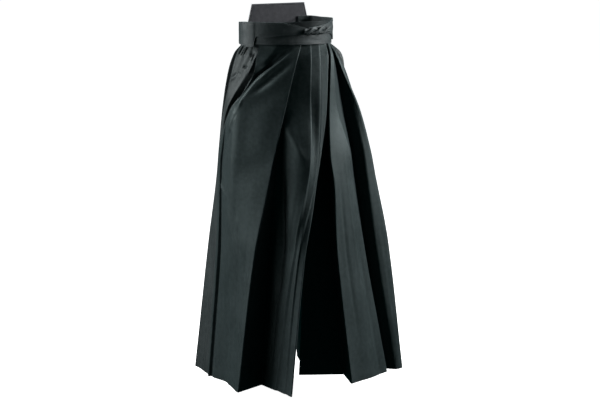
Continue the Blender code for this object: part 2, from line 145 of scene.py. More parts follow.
# Creases and slack. A place is a fold's number, with how far on towards the next fold, and a
# height in mm. Width and rise are in mm, and a rise below zero is a trough.
#    what                     from          to             wide rise
RIGHT_CREASES = (
    ("line above the drag",   (3.0, -26),   (1.8, -110),   4.5, -6.0),
    ("drag ridge",            (3.55, -32),  (3.1, -118),   6,   3.0),
    ("hollow under the drag", (4.05, -44),  (3.8, -156),   14,  -5.5),
    ("slack by the slit",     (1.9, -24),   (1.9, -200),   5,   -4.0),
    ("slack above the drag",  (1.5, -34),   (1.35, -74),   12,  -4.5),
    ("slack above the drag",  (1.75, -30),  (1.8, -62),    6,   1.8),
    ("slack above the drag",  (1.25, -40),  (1.2, -90),    5,   1.6),
    ("slit wrinkle",          (2.6, -150),  (3.4, -186),   4,   2.0),
    ("slit wrinkle",          (2.7, -176),  (3.5, -222),   5,   -2.0),
    ("slit wrinkle",          (2.5, -208),  (3.3, -262),   4,   1.6),
    ("slit wrinkle",          (3.2, -246),  (3.6, -300),   5,   -1.4),
    ("hip roundness",         (4.5, -140),  (4.6, -340),   38,  4.0),
    ("knee push",             (4.55, -330), (4.6, -640),   46,  5.5),
    ("knee crease",           (4.05, -455), (4.2, -500),   4,   -2.0),
    ("knee crease",           (4.2, -500),  (4.5, -620),   4,   -2.2),
    ("knee crease",           (3.95, -470), (4.35, -620),  5,   1.5),
    ("shin crease",           (4.32, -600), (4.4, -900),   9,   -2.0),
    ("shin crease",           (4.68, -500), (4.72, -975),  4,   -1.5),
    ("shin crease",           (4.84, -520), (4.82, -980),  4,   1.4),
    ("shin crease",           (4.18, -700), (4.2, -978),   8,   1.8),
    ("strip press line",      (0.5, -440),  (0.5, -980),   1.8, -1.4),
    ("tack fold",             (1.0, -400),  (3.6, -445),   2.5, 3.0),
    ("second breadth belly",  (6.6, -150),  (6.92, -600),  36,  13.0),
    ("hollow by the belly",   (6.02, -190), (6.62, -660),  11,  -6.0),
    ("hollow by the belly",   (6.2, -330),  (6.62, -760),  16,  -6.0),
    ("fold over the knee",    (6.1, -216),  (6.9, -336),   10,  5.5),
    ("second breadth belly",  (6.8, -560),  (6.85, -800),  18,  4.0),
    ("second breadth crease", (6.78, -360), (6.76, -700),  4,   -1.8),
    ("second breadth crease", (6.88, -330), (6.9, -640),   3,   -1.5),
    ("second breadth crease", (6.52, -560), (6.55, -940),  7,   -1.6),
    ("third breadth crease",  (8.6, -120),  (8.6, -420),   4,   -0.9),
    ("fourth breadth crease", (10.5, -110), (10.55, -390), 4,   0.9),
)


def smooth(stations, values, at):
    """Value at `at` on a smooth curve through values at rising stations."""
    last = len(stations) - 1
    slopes = []
    for i in range(last + 1):
        lo = max(i - 1, 0)
        hi = min(i + 1, last)
        slopes.append((values[hi] - values[lo]) / (stations[hi] - stations[lo]))
    i = max(j for j in range(last) if j == 0 or stations[j] <= at)
    span = stations[i + 1] - stations[i]
    t = (at - stations[i]) / span
    rise = values[i + 1] - values[i]
    return (values[i] + t * t * (3 - 2 * t) * rise
            + span * t * (1 - t) * (slopes[i] * (1 - t) - slopes[i + 1] * t))


def fold_line(lines, z, levels=tuple(HEIGHTS)):
    """Where a fold is at height z, from its x and y at the named levels."""
    depths = [-HEIGHTS[level] for level in levels]
    return tuple(smooth(depths, values, -z) for values in lines)


def unit(x, y):
    length = hypot(x, y) or 1.0
    return x / length, y / length


def gap(a, b):
    return hypot(b[0] - a[0], b[1] - a[1])


def bends(rows, drop):
    """Points round each fold, for a belt that runs round a small pulley at each pressed fold."""
    points = [p for _, _, p in rows]
    pulleys = []
    for i, (kind, size, p) in enumerate(rows):
        if kind in ("edge", "soft"):
            pulleys.append((p[0], p[1], 0.0))
            continue
        near = (points[i - 1], points[i + 1])
        to_last, to_next = (unit(q[0] - p[0], q[1] - p[1]) for q in near)
        inside = unit(to_last[0] + to_next[0], to_last[1] + to_next[1])
        radius = min(FOLD_RADIUS + (size - 1) * drop, min(gap(p, q) for q in near) / FOLD_ROOM)
        turn = 1.0 if kind == "ridge" else -1.0
        pulleys.append((p[0] + inside[0] * radius, p[1] + inside[1] * radius, turn * radius))
    headings = []
    for a, b in zip(pulleys, pulleys[1:]):
        lean = max(-1.0, min(1.0, (a[2] - b[2]) / gap(a, b)))
        headings.append(atan2(b[1] - a[1], b[0] - a[0]) + atan2(lean, (1 - lean * lean) ** 0.5))
    made = []
    steps = np.linspace(0, 1, BEND_POINTS)
    for i, (kind, size, p) in enumerate(rows):
        if kind == "edge":
            made.append([p])
            continue
        x, y, signed = pulleys[i]
        before = headings[i - 1]
        after = headings[i]
        if kind == "soft":
            reach = [min(size, SOFT_SHARE * gap(p, q)) for q in (points[i - 1], points[i + 1])]
            start = (x - cos(before) * reach[0], y - sin(before) * reach[0])
            end = (x + cos(after) * reach[1], y + sin(after) * reach[1])
            made.append([tuple((1 - t) ** 2 * start[k] + 2 * t * (1 - t) * p[k] + t * t * end[k]
                               for k in range(2)) for t in steps])
            continue
        sweep = (after - before) % (2 * pi) if signed > 0 else -((before - after) % (2 * pi))
        if abs(sweep) > 1.5 * pi:
            sweep -= 2 * pi if sweep > 0 else -2 * pi
        made.append([(x + sin(before + sweep * t) * signed, y - cos(before + sweep * t) * signed)
                     for t in steps])
    return made


def with_gathers(table, gathers, z):
    """The table's folds at one height, with gathers put in after one of them as extra bends."""
    lines = [(fold, kind, size, fold_line(points, z)) for fold, kind, size, *points in table]
    out = []
    for i, (fold, kind, size, p) in enumerate(lines):
        out.append((kind, size, p))
        if not gathers or fold != gathers[0]:
            continue
        _, count, depths = gathers
        depth = smooth([-h for h in HEIGHTS.values()], depths, -z)
        q = lines[i + 1][3]
        run = gap(p, q)
        inward = (-(q[1] - p[1]) / run, (q[0] - p[0]) / run)
        for k in range(2 * count):
            t = (k + 1) / (2 * count + 1)
            push = depth if k % 2 == 0 else -GATHER_BACK * depth
            out.append(("soft", GATHER_BEND, (p[0] + t * (q[0] - p[0]) + inward[0] * push,
                                              p[1] + t * (q[1] - p[1]) + inward[1] * push)))
    return out


def breadth(table, gathers=None, step=CLOTH_STEP):
    """Grid of points (mm) over one breadth, and each column's place among the folds."""
    top = HEIGHTS["waist"]
    hem = HEIGHTS["hem"]
    down = np.linspace(0, 1, CLOTH_ROWS)
    spacing = down * (ROW_EVENNESS + (1 - ROW_EVENNESS) * down ** 0.5)
    heights = [*UNDER_BAND, *(top + (hem - top) * spacing)]
    sections = [bends(with_gathers(table, gathers, min(z, top)),
                      max(0.0, (z - top) / (hem - top))) for z in heights]
    folds = len(sections[0])
    counts = [max(1, round(max(gap(s[i][-1], s[i + 1][0]) for s in sections) / step))
              for i in range(folds - 1)]
    place = []
    between = 1 - 2 * BEND_SHARE
    for i in range(folds):
        n = len(sections[0][i])
        place += [i] if n == 1 else list(i + BEND_SHARE * np.linspace(-1, 1, n))
        if i < folds - 1:
            place += [i + BEND_SHARE + between * k / counts[i] for k in range(1, counts[i])]
    grid = []
    for z, s in zip(heights, sections):
        row = []
        for i in range(folds):
            row += [(x, y, z) for x, y in s[i]]
            if i < folds - 1:
                a = s[i][-1]
                b = s[i + 1][0]
                for t in (k / counts[i] for k in range(1, counts[i])):
                    row.append((a[0] + t * (b[0] - a[0]), a[1] + t * (b[1] - a[1]), z))
        grid.append(row)
    return np.array(grid), np.array(place)


def run_across(grid):
    """Distance along the cloth from the first column, row by row."""
    steps = np.linalg.norm(np.diff(grid, axis=1), axis=2)
    return np.concatenate([np.zeros((len(grid), 1)), np.cumsum(steps, axis=1)], axis=1)


def to_length_one(arrows):
    return arrows / np.maximum(np.linalg.norm(arrows, axis=2, keepdims=True), 1e-9)


def outward(grid):
    """Which way the cloth's outer side faces at each point."""
    return to_length_one(np.cross(np.gradient(grid, axis=0), np.gradient(grid, axis=1)))


def eased_side(grid, run):
    """Which way the cloth faces at each point, looking past its narrow folds."""
    faces = outward(grid) * np.gradient(run, axis=1)[:, :, None]
    return to_length_one(np.array([np.exp(-((s[:, None] - s) / EASE) ** 2) @ face
                                   for s, face in zip(run, faces)]))


def creased(grid, place, creases, seed, slack=0.45, calm_top=-16.0):
    """The cloth with its listed creases put in, and a little uneven slack all over."""
    run = run_across(grid)
    height = grid[:, :, 2]
    push = np.zeros(run.shape)
    for _, start, end, width, rise in creases:
        ends = []
        for fold, z in (start, end):
            column = int(np.argmin(abs(place - fold)))
            ends.append((int(np.argmin(abs(height[:, column] - z))), column))
        flat = run - run[:, [ends[0][1]]]
        ax, az = flat[ends[0]], height[ends[0]]
        dx, dz = flat[ends[1]] - ax, height[ends[1]] - az
        along = np.clip(((flat - ax) * dx + (height - az) * dz) / (dx * dx + dz * dz), 0, 1)
        away = np.hypot(flat - ax - along * dx, height - az - along * dz)
        fade_in = np.clip(along / CREASE_FADE, 0, 1)
        fade_out = np.clip((1 - along) / CREASE_FADE, 0, 1) if end[1] > HEM_LEVEL else 1.0
        push += (rise * np.exp(-(away / width) ** 2)
                 * fade_in ** 2 * (3 - 2 * fade_in) * fade_out ** 2 * (3 - 2 * fade_out))
    middle = run - run[:, [run.shape[1] // 2]]
    for (r, c), x in np.ndenumerate(middle):
        z = height[r, c]
        push[r, c] += slack * sum(share * noise.noise(Vector((x / wide, z / long, seed + more)))
                                  for wide, long, more, share in SLACK_WAVES)
    push *= np.clip((calm_top - height) / CALM_REACH, 0, 1)
    return grid + eased_side(grid, run) * push[:, :, None]


def as_mesh(piece):
    """The piece with its modifiers' result as its own plain mesh."""
    seen = piece.evaluated_get(bpy.context.evaluated_depsgraph_get())
    piece.data = bpy.data.meshes.new_from_object(seen)
    piece.data.name = piece.name
    piece.modifiers.clear()
    piece.data.shade_smooth()
    piece.data.set_sharp_from_angle(angle=radians(SHARP_ANGLE))
    return piece


def cloth_piece(name, grid, pressed, thickness, finish):
    """A cloth wall with its weave laid flat on it and its edges left crisp."""
    rows, columns = grid.shape[:2]
    mesh = bpy.data.meshes.new(name)
    index = np.arange(rows * columns).reshape(rows, columns)
    faces = np.stack([index[:-1, :-1], index[1:, :-1], index[1:, 1:], index[:-1, 1:]], axis=2)
    mesh.from_pydata((grid.reshape(-1, 3) * MM).tolist(), [], faces.reshape(-1, 4).tolist())
    run = run_across(grid)
    flat = np.stack([(run - run[:, [columns // 2]]) * MM + 0.5, grid[:, :, 2] * MM + 1.0], axis=2)
    corner = np.empty(len(mesh.loops), dtype=np.int32)
    mesh.loops.foreach_get("vertex_index", corner)
    laid = mesh.uv_layers.new(name="cloth")
    laid.data.foreach_set("uv", flat.reshape(-1, 2)[corner].ravel().astype(np.float32))
    mask = mesh.attributes.new("pressed", "FLOAT", "POINT")
    mask.data.foreach_set("value", pressed.ravel().astype(np.float32))
    mesh.materials.append(finish)
    piece = put(name, mesh)
    wall = piece.modifiers.new("wall", "SOLIDIFY")
    wall.thickness = thickness
    wall.offset = 0.0
    wall.use_even_offset = True
    return as_mesh(piece)


def fold_wear(place, rows, table, gathers=None):
    """How near each point is to a pressed fold or a cut edge, from 0 to 1."""
    wear = np.zeros(len(place))
    at = 0
    for fold, kind, *_ in table:
        if kind in ("ridge", "edge"):
            wear = np.maximum(wear, np.exp(-((place - at) / WEAR_REACH) ** 2))
        at += 1 + (2 * gathers[1] if gathers and fold == gathers[0] else 0)
    return np.tile(wear, (rows, 1))


def fill(made, inputs):
    """Give a node's inputs plain values, or join them to other nodes' outputs."""
    for key, value in inputs.items():
        if isinstance(value, bpy.types.NodeSocket):
            made.id_data.links.new(value, made.inputs[key])
        else:
            made.inputs[key].default_value = value
    return made


def node(tree, kind, inputs=None, **settings):
    made = tree.nodes.new(kind)
    for key, value in settings.items():
        setattr(made, key, value)
    return fill(made, inputs or {})


def sums(tree, operation, *values):
    return node(tree, "ShaderNodeMath", dict(enumerate(values)), operation=operation).outputs[0]


def mixed(tree, total, *parts):
    """A starting value plus each part times its share."""
    for part, share in parts:
        total = sums(tree, "MULTIPLY_ADD", part, share, total)
    return total


def speckle(tree, place, scale, detail=2.0):
    """Soft random tones from 0 to 1 over `place`."""
    inputs = {"Vector": place, "Scale": scale, "Detail": detail}
    return node(tree, "ShaderNodeTexNoise", inputs).outputs["Fac"]


def group(name, kind, inputs, outputs):
    """A node group with named sockets, its inputs, and the node that its results go to."""
    tree = bpy.data.node_groups.new(name, kind)
    for side, sockets in (("INPUT", inputs), ("OUTPUT", outputs)):
        for label, sort in sockets.items():
            tree.interface.new_socket(label, in_out=side, socket_type=f"NodeSocket{sort}")
    return tree, node(tree, "NodeGroupInput").outputs, node(tree, "NodeGroupOutput")


def material(name):
    made = bpy.data.materials.new(name)
    made.use_nodes = True
    return made, made.node_tree, made.node_tree.nodes["Principled BSDF"]


# Twill: slanting ribs of warp over finer picks, with a few slubs. Height runs about -1 to 1.
twill, cloth, woven = group("twill_weave", "ShaderNodeTree",
                            {"Cloth": "Vector", "Rib Pitch": "Float"},
                            {"Height": "Float", "Thread Tone": "Float"})
axes = node(twill, "ShaderNodeSeparateXYZ", {0: cloth["Cloth"]}).outputs
weft, warp = (sums(twill, "DIVIDE", axes[axis], cloth["Rib Pitch"]) for axis in "XY")
slant = mixed(twill, weft, (warp, 0.55))
ribs = sums(twill, "SINE", sums(twill, "MULTIPLY", slant, 2 * pi))
picks = sums(twill, "SINE", sums(twill, "MULTIPLY", warp, 4 * pi))
slubs = speckle(twill, cloth["Cloth"], 900.0, 3.0)
fill(woven, {"Height": mixed(twill, -0.5, (ribs, 0.6), (picks, 0.25), (slubs, 1.0)),
             "Thread Tone": mixed(twill, 0.5, (ribs, 0.5))})

# Black dye that has gone a little uneven: clouded, streaked down the drape, mottled, and rubbed
# lighter at the folds.
dye, cloth, dyed = group("worn_black_dye", "ShaderNodeTree",
                         {"Place": "Vector", "Deep": "Color", "Rubbed": "Color",
                          "Fold Wear": "Float", "Thread Tone": "Float", "Base Roughness": "Float"},
                         {"Color": "Color", "Roughness": "Float"})
clouds = speckle(dye, cloth["Place"], 7.0, 4.0)
drawn = node(dye, "ShaderNodeMapping", {"Vector": cloth["Place"], "Scale": (90.0, 90.0, 5.0)})
streaks = speckle(dye, drawn.outputs["Vector"], 1.0)
mottle = speckle(dye, cloth["Place"], 95.0, 3.0)
fade = mixed(dye, -0.7, (clouds, 0.45), (streaks, 0.35), (cloth["Fold Wear"], 0.35),
             (cloth["Thread Tone"], 0.2), (mottle, 0.9))
tint = node(dye, "ShaderNodeMix", {"Factor": fade}, data_type="RGBA")
colours = [socket for socket in (*tint.inputs, *tint.outputs) if socket.type == "RGBA"]
dye.links.new(cloth["Deep"], colours[0])
dye.links.new(cloth["Rubbed"], colours[1])
fill(dyed, {"Color": colours[2],
            "Roughness": mixed(dye, -0.15, (cloth["Base Roughness"], 1.0), (clouds, 0.3),
                               (cloth["Fold Wear"], -0.08))})


def twill_finish(name, deep, rubbed, roughness, sheen, pitch=0.001, gloss=(0.9, 1.0, 1.0, 1),
                 ribbing=0.35):
    """Black twill: satin sheen, woven bump, dye rubbed lighter along its pressed folds."""
    made, tree, shader = material(name)
    flat = node(tree, "ShaderNodeUVMap", uv_map="cloth").outputs["UV"]
    place = node(tree, "ShaderNodeTexCoord").outputs["Object"]
    wear = node(tree, "ShaderNodeAttribute", attribute_name="pressed").outputs["Fac"]
    weave = node(tree, "ShaderNodeGroup", {"Cloth": flat, "Rib Pitch": pitch}, node_tree=twill)
    colour = node(tree, "ShaderNodeGroup",
                  {"Place": place, "Deep": deep, "Rubbed": rubbed, "Fold Wear": wear,
                   "Thread Tone": weave.outputs["Thread Tone"], "Base Roughness": roughness},
                  node_tree=dye)
    relief = node(tree, "ShaderNodeBump", {"Strength": ribbing, "Distance": RIB_DEPTH,
                                           "Height": weave.outputs["Height"]})
    fill(shader, {"Base Color": colour.outputs["Color"], "Roughness": colour.outputs["Roughness"],
                  "Normal": relief.outputs["Normal"], "Metallic": 0.0, "Specular IOR Level": 0.25,
                  "Specular Tint": gloss, "Sheen Weight": sheen, "Sheen Roughness": 0.4,
                  "Sheen Tint": (0.76, 0.98, 1.0, 1.0)})
    return made


skirt_twill = twill_finish("skirt_twill", (0.0102, 0.015, 0.0155, 1), (0.0306, 0.041, 0.043, 1),
                           0.5, 0.03, pitch=0.0012, gloss=(0.78, 1.0, 1.0, 1))
right_grid, right_place = breadth(FRONT_RIGHT)
right_grid = creased(right_grid, right_place, RIGHT_CREASES, seed=3)
front_right = cloth_piece("front_right_breadth", right_grid,
                          fold_wear(right_place, len(right_grid), FRONT_RIGHT), CLOTH, skirt_twill)
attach(front_right, "root")
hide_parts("front_right")

# ======== front breadth, wearer's left
# The other front, in two pleats. The fifth pleat meets the fourth at the centre seam, and the
# sixth lies along the side, with its edge left open at the slit.
FRONT_LEFT = (
    ("centre seam", "edge", 0,
     (97.5, 98, 94, 87, 78.5, 68, 49, 43),
     (-50, -64, -76, -87, -70, -58, -29, 14)),
    ("recess", "valley", 2,
     (101, 102, 99, 102, 109, 119, 131, 165),
     (-46, -60, -70, -60, -48, -46, -37, -26)),
    ("fifth pleat", "ridge", 2,
     (104, 102, 97, 91, 90, 100, 110, 155),
     (-51, -76, -88, -97, -109, -113, -114, -114)),
    ("fifth far edge", "ridge", 3,
     (111, 112.5, 111, 122, 158, 168, 210, 293),
     (-43, -67, -79.5, -77, -79, -73, -61, -42)),
    ("sixth valley", "valley", 3,
     (108, 120, 135, 156, 185, 197, 230, 297),
     (-38, -47.4, -44, -30.7, -19, -20, -16, -13)),
    ("side turn", "soft", 6,
     (112, 124, 142.2, 181.4, 212.9, 226, 256.5, 326.7),
     (-37, -52.1, -54.4, -44.7, -44, -43.8, -39, -30.7)),
    ("sixth pleat", "soft", 14,
     (115, 127.3, 148.3, 200.7, 240.4, 259, 303.7, 353.7),
     (-36, -54.7, -59.5, -47.4, -35.6, -30.7, -26.8, -22.5)),
    ("slit edge", "edge", 0,
     (118, 134, 161, 207, 245, 262, 297, 342),
     (-31, -43, -41, 0, 38, 52, 62, 102)),
)
LEFT_CREASES = (
    ("fifth belly",           (2.5, -200),  (2.5, -975),   34,  5.0),
    ("fifth crease",          (2.3, -340),  (2.36, -900),  6,   -1.8),
    ("fifth crease",          (2.66, -260), (2.62, -760),  5,   1.5),
    ("fifth crease",          (2.8, -520),  (2.78, -975),  7,   -1.6),
    ("sixth crease",          (4.6, -340),  (4.56, -800),  5,   -1.2),
    ("sixth crease",          (5.4, -480),  (5.44, -975),  6,   1.2),
    ("side crease",           (6.4, -240),  (6.35, -620),  6,   -1.6),
    ("side crease",           (6.65, -420), (6.6, -940),   7,   1.6),
)
left_grid, left_place = breadth(FRONT_LEFT)
left_grid = creased(left_grid, left_place, LEFT_CREASES, seed=11)
front_left = cloth_piece("front_left_breadth", left_grid,
                         fold_wear(left_place, len(left_grid), FRONT_LEFT), CLOTH, skirt_twill)
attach(front_left, "root")
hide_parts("front_left")

# ======== back breadths
# Same twill, each with one deep pressed pleat, but coloured lighter than the fronts as painted
# light on the hips. At the slits the side cloth is gathered small under the ties and drawn
# forward inside the front's edge.
BACK_LEFT = (
    ("slit edge", "edge", 0,
     (111, 126, 150, 199, 240, 259.5, 294.8, 340),
     (-31, -38, -38, -8, 34, 48, 58, 98)),
    ("hip fold", "soft", 12,
     (122, 152, 165, 205, 243, 261, 296.6, 339),
     (-12, -28, -24, 16, 62, 78, 90, 124)),
    ("side", "soft", 20,
     (120, 146, 166, 204, 237, 256, 292, 332),
     (25, 10, 12, 40, 84, 94, 114, 150)),
    ("side back", "soft", 20,
     (98, 120, 140, 176, 206, 222, 252, 290),
     (56, 62, 66, 88, 120, 134, 176, 210)),
    ("back pleat", "ridge", 3,
     (60, 66, 75, 95, 115, 130, 165, 202),
     (79, 93, 110, 136, 158, 172, 232, 264)),
    ("back valley", "valley", 3,
     (74, 80, 89, 105, 119, 130, 156, 184),
     (66, 80, 98, 122, 146, 162, 212, 240)),
    ("inner back", "soft", 20,
     (30, 32, 38, 48, 72, 86, 118, 138),
     (87, 103, 117, 143, 167, 177, 212, 238)),
    ("centre back", "edge", 0,
     (1.2, 4.2, 9.2, 23.2, 41.2, 50, 78, 101),
     (90, 105, 120, 145, 165, 170, 186, 191)),
)
BACK_RIGHT = (
    ("centre back", "edge", 0,
     (-1.2, 1.8, 6.8, 20.8, 38.8, 41, 32, 15),
     (90, 105, 120, 145, 165, 168, 160, 150)),
    ("inner back", "soft", 20,
     (-30, -28, -24, -18, -5, 0, -20, -42),
     (87, 103, 118, 143, 166, 174, 204, 218)),
    ("back valley", "valley", 3,
     (-74, -75, -76, -73, -68, -68, -86, -98),
     (66, 82, 98, 122, 144, 156, 208, 232)),
    ("back pleat", "ridge", 3,
     (-60, -61, -62, -62, -63, -70, -100, -122),
     (79, 95, 110, 134, 158, 172, 230, 263)),
    ("side back", "soft", 20,
     (-99, -107, -118, -130, -137, -142, -162, -186),
     (55, 76, 92, 118, 140, 150, 203, 243)),
    ("silhouette fold", "soft", 12,
     (-119, -134, -149, -158, -163, -167, -183, -213),
     (30, 60, 70, 90, 108, 119, 152, 203)),
    ("side hollow", "soft", 5,
     (-118.5, -122, -134, -150, -164, -168.5, -180, -208),
     (20, 56, 67, 86, 100.5, 108, 138, 188)),
    ("hip fold", "soft", 6,
     (-123, -131, -141, -155, -167, -172, -179, -205),
     (10, 38, 50, 68, 92, 97, 124, 173)),
    ("front turn", "soft", 4,
     (-97, -95.6, -114.2, -156.5, -169.3, -173.6, -178.9, -202),
     (-42, -35.4, -0.3, 48, 74, 80, 98, 134)),
    ("slit edge", "edge", 0,
     (-90, -87, -95, -144, -171, -175, -178.8, -199.4),
     (-48, -38, -8, 48, 60, 66, 78, 102.5)),
)
# The fold that gathers come after, how many there are, and their depth at the eight heights.
BACK_LEFT_GATHERS = ("slit edge", 1, (2.0, 2.5, 2.0, 0.8, 0.0, 0.0, 0.0, 0.0))
BACK_RIGHT_GATHERS = ("hip fold", 3, (5.0, 2.4, 0.3, 0.0, 0.0, 0.0, 0.0, 0.0))
HIP_STEP = 3.2                    # the gathered hip needs finer points
BACK_LEFT_CREASES = (
    ("hip bulge",             (3.5, -30),   (3.6, -110),   12,  3.0),
    ("side crease",           (4.4, -120),  (4.5, -640),   9,   -2.0),
    ("side crease",           (3.6, -420),  (3.5, -960),   10,  2.0),
    ("back crease",           (5.3, -160),  (5.4, -560),   9,   -2.2),
    ("back crease",           (5.6, -460),  (5.5, -975),   12,  2.4),
    ("seat crease",           (8.6, -210),  (8.3, -330),   8,   -2.0),
    ("inner crease",          (8.4, -420),  (8.3, -940),   10,  2.2),
)
BACK_RIGHT_CREASES = (
    ("seat crease",           (0.4, -210),  (0.7, -340),   8,   -2.0),
    ("inner crease",          (0.6, -440),  (0.5, -960),   10,  2.2),
    ("back crease",           (3.4, -150),  (3.5, -620),   9,   -2.2),
    ("back crease",           (3.6, -430),  (3.7, -975),   12,  2.4),
    ("side crease",           (4.5, -200),  (4.4, -820),   9,   -2.0),
    ("gather under the tie",  (7.6, -20),   (7.9, -54),    2.0, -4.5),
    ("gather under the tie",  (8.9, -20),   (8.6, -58),    2.0, -4.5),
    ("gather under the tie",  (9.9, -20),   (9.5, -52),    2.0, -4.5),
    ("hollow of the loop",    (11.3, -38),  (12.2, -52),   3,   -5.0),
    ("rim of the loop",       (12.9, -34),  (12.6, -66),   1.6, 3.0),
    ("strap of cloth",        (13.2, -30),  (14.1, -104),  2.2, 4.0),
    ("hollow by the strap",   (10.9, -78),  (12.7, -84),   3.2, -6.0),
    ("hip wrinkle",           (6.6, -120),  (9.6, -98),    1.8, -3.6),
    ("hip wrinkle",           (9.6, -98),   (11.6, -104),  1.8, -2.2),
    ("hip wrinkle",           (6.8, -128),  (9.8, -106),   3,   2.0),
    ("strip press line",      (10.5, -420), (10.5, -980),  1.8, -1.2),
    ("strip press line",      (13.5, -420), (13.5, -980),  1.8, 1.2),
)
# Lighter than the skirt's twill: the extra lightness is painted light, for the lit gathers at the
# hips.
back_twill_painted_light = twill_finish("back_twill_painted_light", (0.0145, 0.018, 0.0185, 1), (0.044, 0.052, 0.054, 1),
                          0.5, 0.05, pitch=0.0012)
for side, flat, table, gathers, creases, step, seed in (
        ("left", (0.325, 1.0), BACK_LEFT, BACK_LEFT_GATHERS, BACK_LEFT_CREASES, CLOTH_STEP, 19),
        ("right", (0.335, 0.985), BACK_RIGHT, BACK_RIGHT_GATHERS, BACK_RIGHT_CREASES,
         HIP_STEP, 27)):
    grid, place = breadth(table, gathers, step)
    grid = creased(grid, place, creases, seed)
    piece = cloth_piece(f"back_{side}_breadth", grid, fold_wear(place, len(grid), table, gathers),
                        CLOTH, back_twill_painted_light)
    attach(piece, "root")
    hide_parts(f"back_{side}")

# ======== inner leg pieces
# Plain twill let in between front and back from the crotch down, so that each leg is its own
# tube. Each hangs a little slack, dipping at the crotch line.
GUSSET_LEVELS = ("crotch", "seam_top", "knee", "hem")
GUSSET_TOP = -324.0
GUSSET_DIP = 26.0
GUSSET_ROWS = 110
GUSSET_COLUMNS = 46
# Four lines from the front seam to the back seam, each with its x, then its y, at the levels.
GUSSETS = {
    "right": (
        ((76.5, 60.4, 20.4, -41.6), (-70, -68.8, -58, -58.2)),
        ((64, 57, 38, -14), (10, 10, 10, 30)),
        ((50, 47, 40, 6), (90, 90, 90, 95)),
        ((38.8, 41, 32, 15), (163, 166, 158, 148)),
    ),
    "left": (
        ((78.7, 68, 49.2, 43.5), (-67.4, -55.8, -27, 16.2)),
        ((66.4, 70, 68, 70), (10, 10, 45, 85)),
        ((52.4, 64, 80, 91), (90, 90, 115, 140)),
        ((41.2, 50.2, 78.2, 101), (163, 167.8, 183.8, 188.8)),
    ),
}
GUSSET_CREASES = (
    ("slack",                 (0.8, -430),  (0.7, -900),   12,  2.5),
    ("slack",                 (1.8, -380),  (2.0, -760),   14,  -2.8),
    ("slack",                 (2.4, -520),  (2.3, -960),   10,  2.0),
)
for side, lines, wide in (("right", GUSSETS["right"], 0.22), ("left", GUSSETS["left"], 0.205)):
    grid = []
    for down in np.linspace(0, 1, GUSSET_ROWS):
        row = []
        for s in np.linspace(0, 1, GUSSET_COLUMNS):
            z = GUSSET_TOP + down * (HEIGHTS["hem"] - GUSSET_TOP)
            z -= GUSSET_DIP * sin(pi * s) * (1 - down) ** 2
            across = zip(*(fold_line(points, z, GUSSET_LEVELS) for points in lines))
            row.append((*(smooth((0, 1 / 3, 2 / 3, 1), values, s) for values in across), z))
        grid.append(row)
    grid = creased(np.array(grid), np.linspace(0, 3, GUSSET_COLUMNS), GUSSET_CREASES, seed=41)
    piece = cloth_piece(f"gusset_{side}_piece", grid, np.zeros(grid.shape[:2]), CLOTH, skirt_twill)
    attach(piece, "root")
    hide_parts(f"gusset_{side}")

# ======== sewn front band
# Twill folded double over a lining and top-stitched along both edges. It holds the pleat tops,
# and the upper winding of the ties hides most of its right half.
WAIST_A = 126.0                   # half the waist's width and depth
WAIST_B = 90.0
BAND_CLOTH = 2.0 * MM
RIBBON_ROWS = 11
RIBBON_STEP = 2.5
EDGE_WEAR = 0.08                  # share of a tie's height that its worn edges reach over
# Degrees round the waist from its front, mm out from it, and the heights of both edges in mm.
#    where                     angle  out   low  high
FRONT_BAND = (
    ("slit, wearer's right",   -58,   2.9,  -11, 18),
    ("centre",                 0,     2.9,  -12, 18),
    ("slit, wearer's left",    67.5,  2.9,  -18, 18),
)
#    what                     from          to             wide rise
BAND_CREASES = (
    ("pull",                  (-46, -12),   (-20, -8),     3,   0.4),
    ("pull",                  (12, 0),      (36, -6),      3,   -0.4),
    ("pull",                  (40, -8),     (62, -4),      4,   0.4),
)


def ribbon(stations):
    """Grid of points (mm) along a flat band or tie, and each column's angle round the waist."""
    stations = sorted(stations, key=lambda station: station[1])
    runs = [angle - stations[0][1] for _, angle, *_ in stations]
    count = int(runs[-1] * radians(1) * WAIST_A / RIBBON_STEP)
    grid = [[] for _ in range(RIBBON_ROWS)]
    angles = []
    for i in range(count + 1):
        s = runs[-1] * i / count
        angle, out, low, high = (smooth(runs, [st[k] for st in stations], s) for k in range(1, 5))
        x = (WAIST_A + out) * sin(radians(angle))
        y = -(WAIST_B + out) * cos(radians(angle))
        angles.append(angle)
        for level, row in enumerate(grid):
            row.append((x, y, high + (low - high) * level / (RIBBON_ROWS - 1)))
    return np.array(grid), np.array(angles)


def ribbon_piece(name, stations, creases, seed, finish):
    """A flat band or tie, and the grid it was made on."""
    grid, angles = ribbon(stations)
    grid = creased(grid, angles, creases, seed, slack=0.12, calm_top=200.0)
    down = np.linspace(0, 1, len(grid))
    worn = np.maximum(np.exp(-(down / EDGE_WEAR) ** 2), np.exp(-((1 - down) / EDGE_WEAR) ** 2))
    return grid, cloth_piece(name, grid, np.tile(worn[:, None], (1, grid.shape[1])),
                             BAND_CLOTH, finish)


# The same black twill, coloured lighter than the skirt's: the extra lightness is painted light on
# the band, ties and tuck.
tie_twill_painted_light = twill_finish("tie_twill_painted_light", (0.0165, 0.021, 0.022, 1), (0.043, 0.05, 0.053, 1),
                         0.46, 0.14)
band_grid, front_band = ribbon_piece("front_waistband", FRONT_BAND, BAND_CREASES, 51, tie_twill_painted_light)
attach(front_band, "root")
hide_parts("front_band")

# ======== front ties
# The flat ties sewn to the front band, taken round to the back under the board and round again.
# The outer windings cover them, so only their inside shows.
FRONT_TIE = (
    ("leaves the band",        -42,   0,    13,  34),
    ("right side",             -95,   0,    2,   34),
    ("right of the board",     -140,  0,    -4,  30),
    ("behind the board",       -180,  -1,   -4,  28),
    ("left of the board",      -220,  0,    -4,  30),
    ("left side",              -265,  0,    4,   36),
    ("meets the knot",         -318,  0,    13,  32),
)
_, front_tie = ribbon_piece("front_tie_winding", FRONT_TIE, (), 57, tie_twill_painted_light)
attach(front_tie, "root")
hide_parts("front_tie")

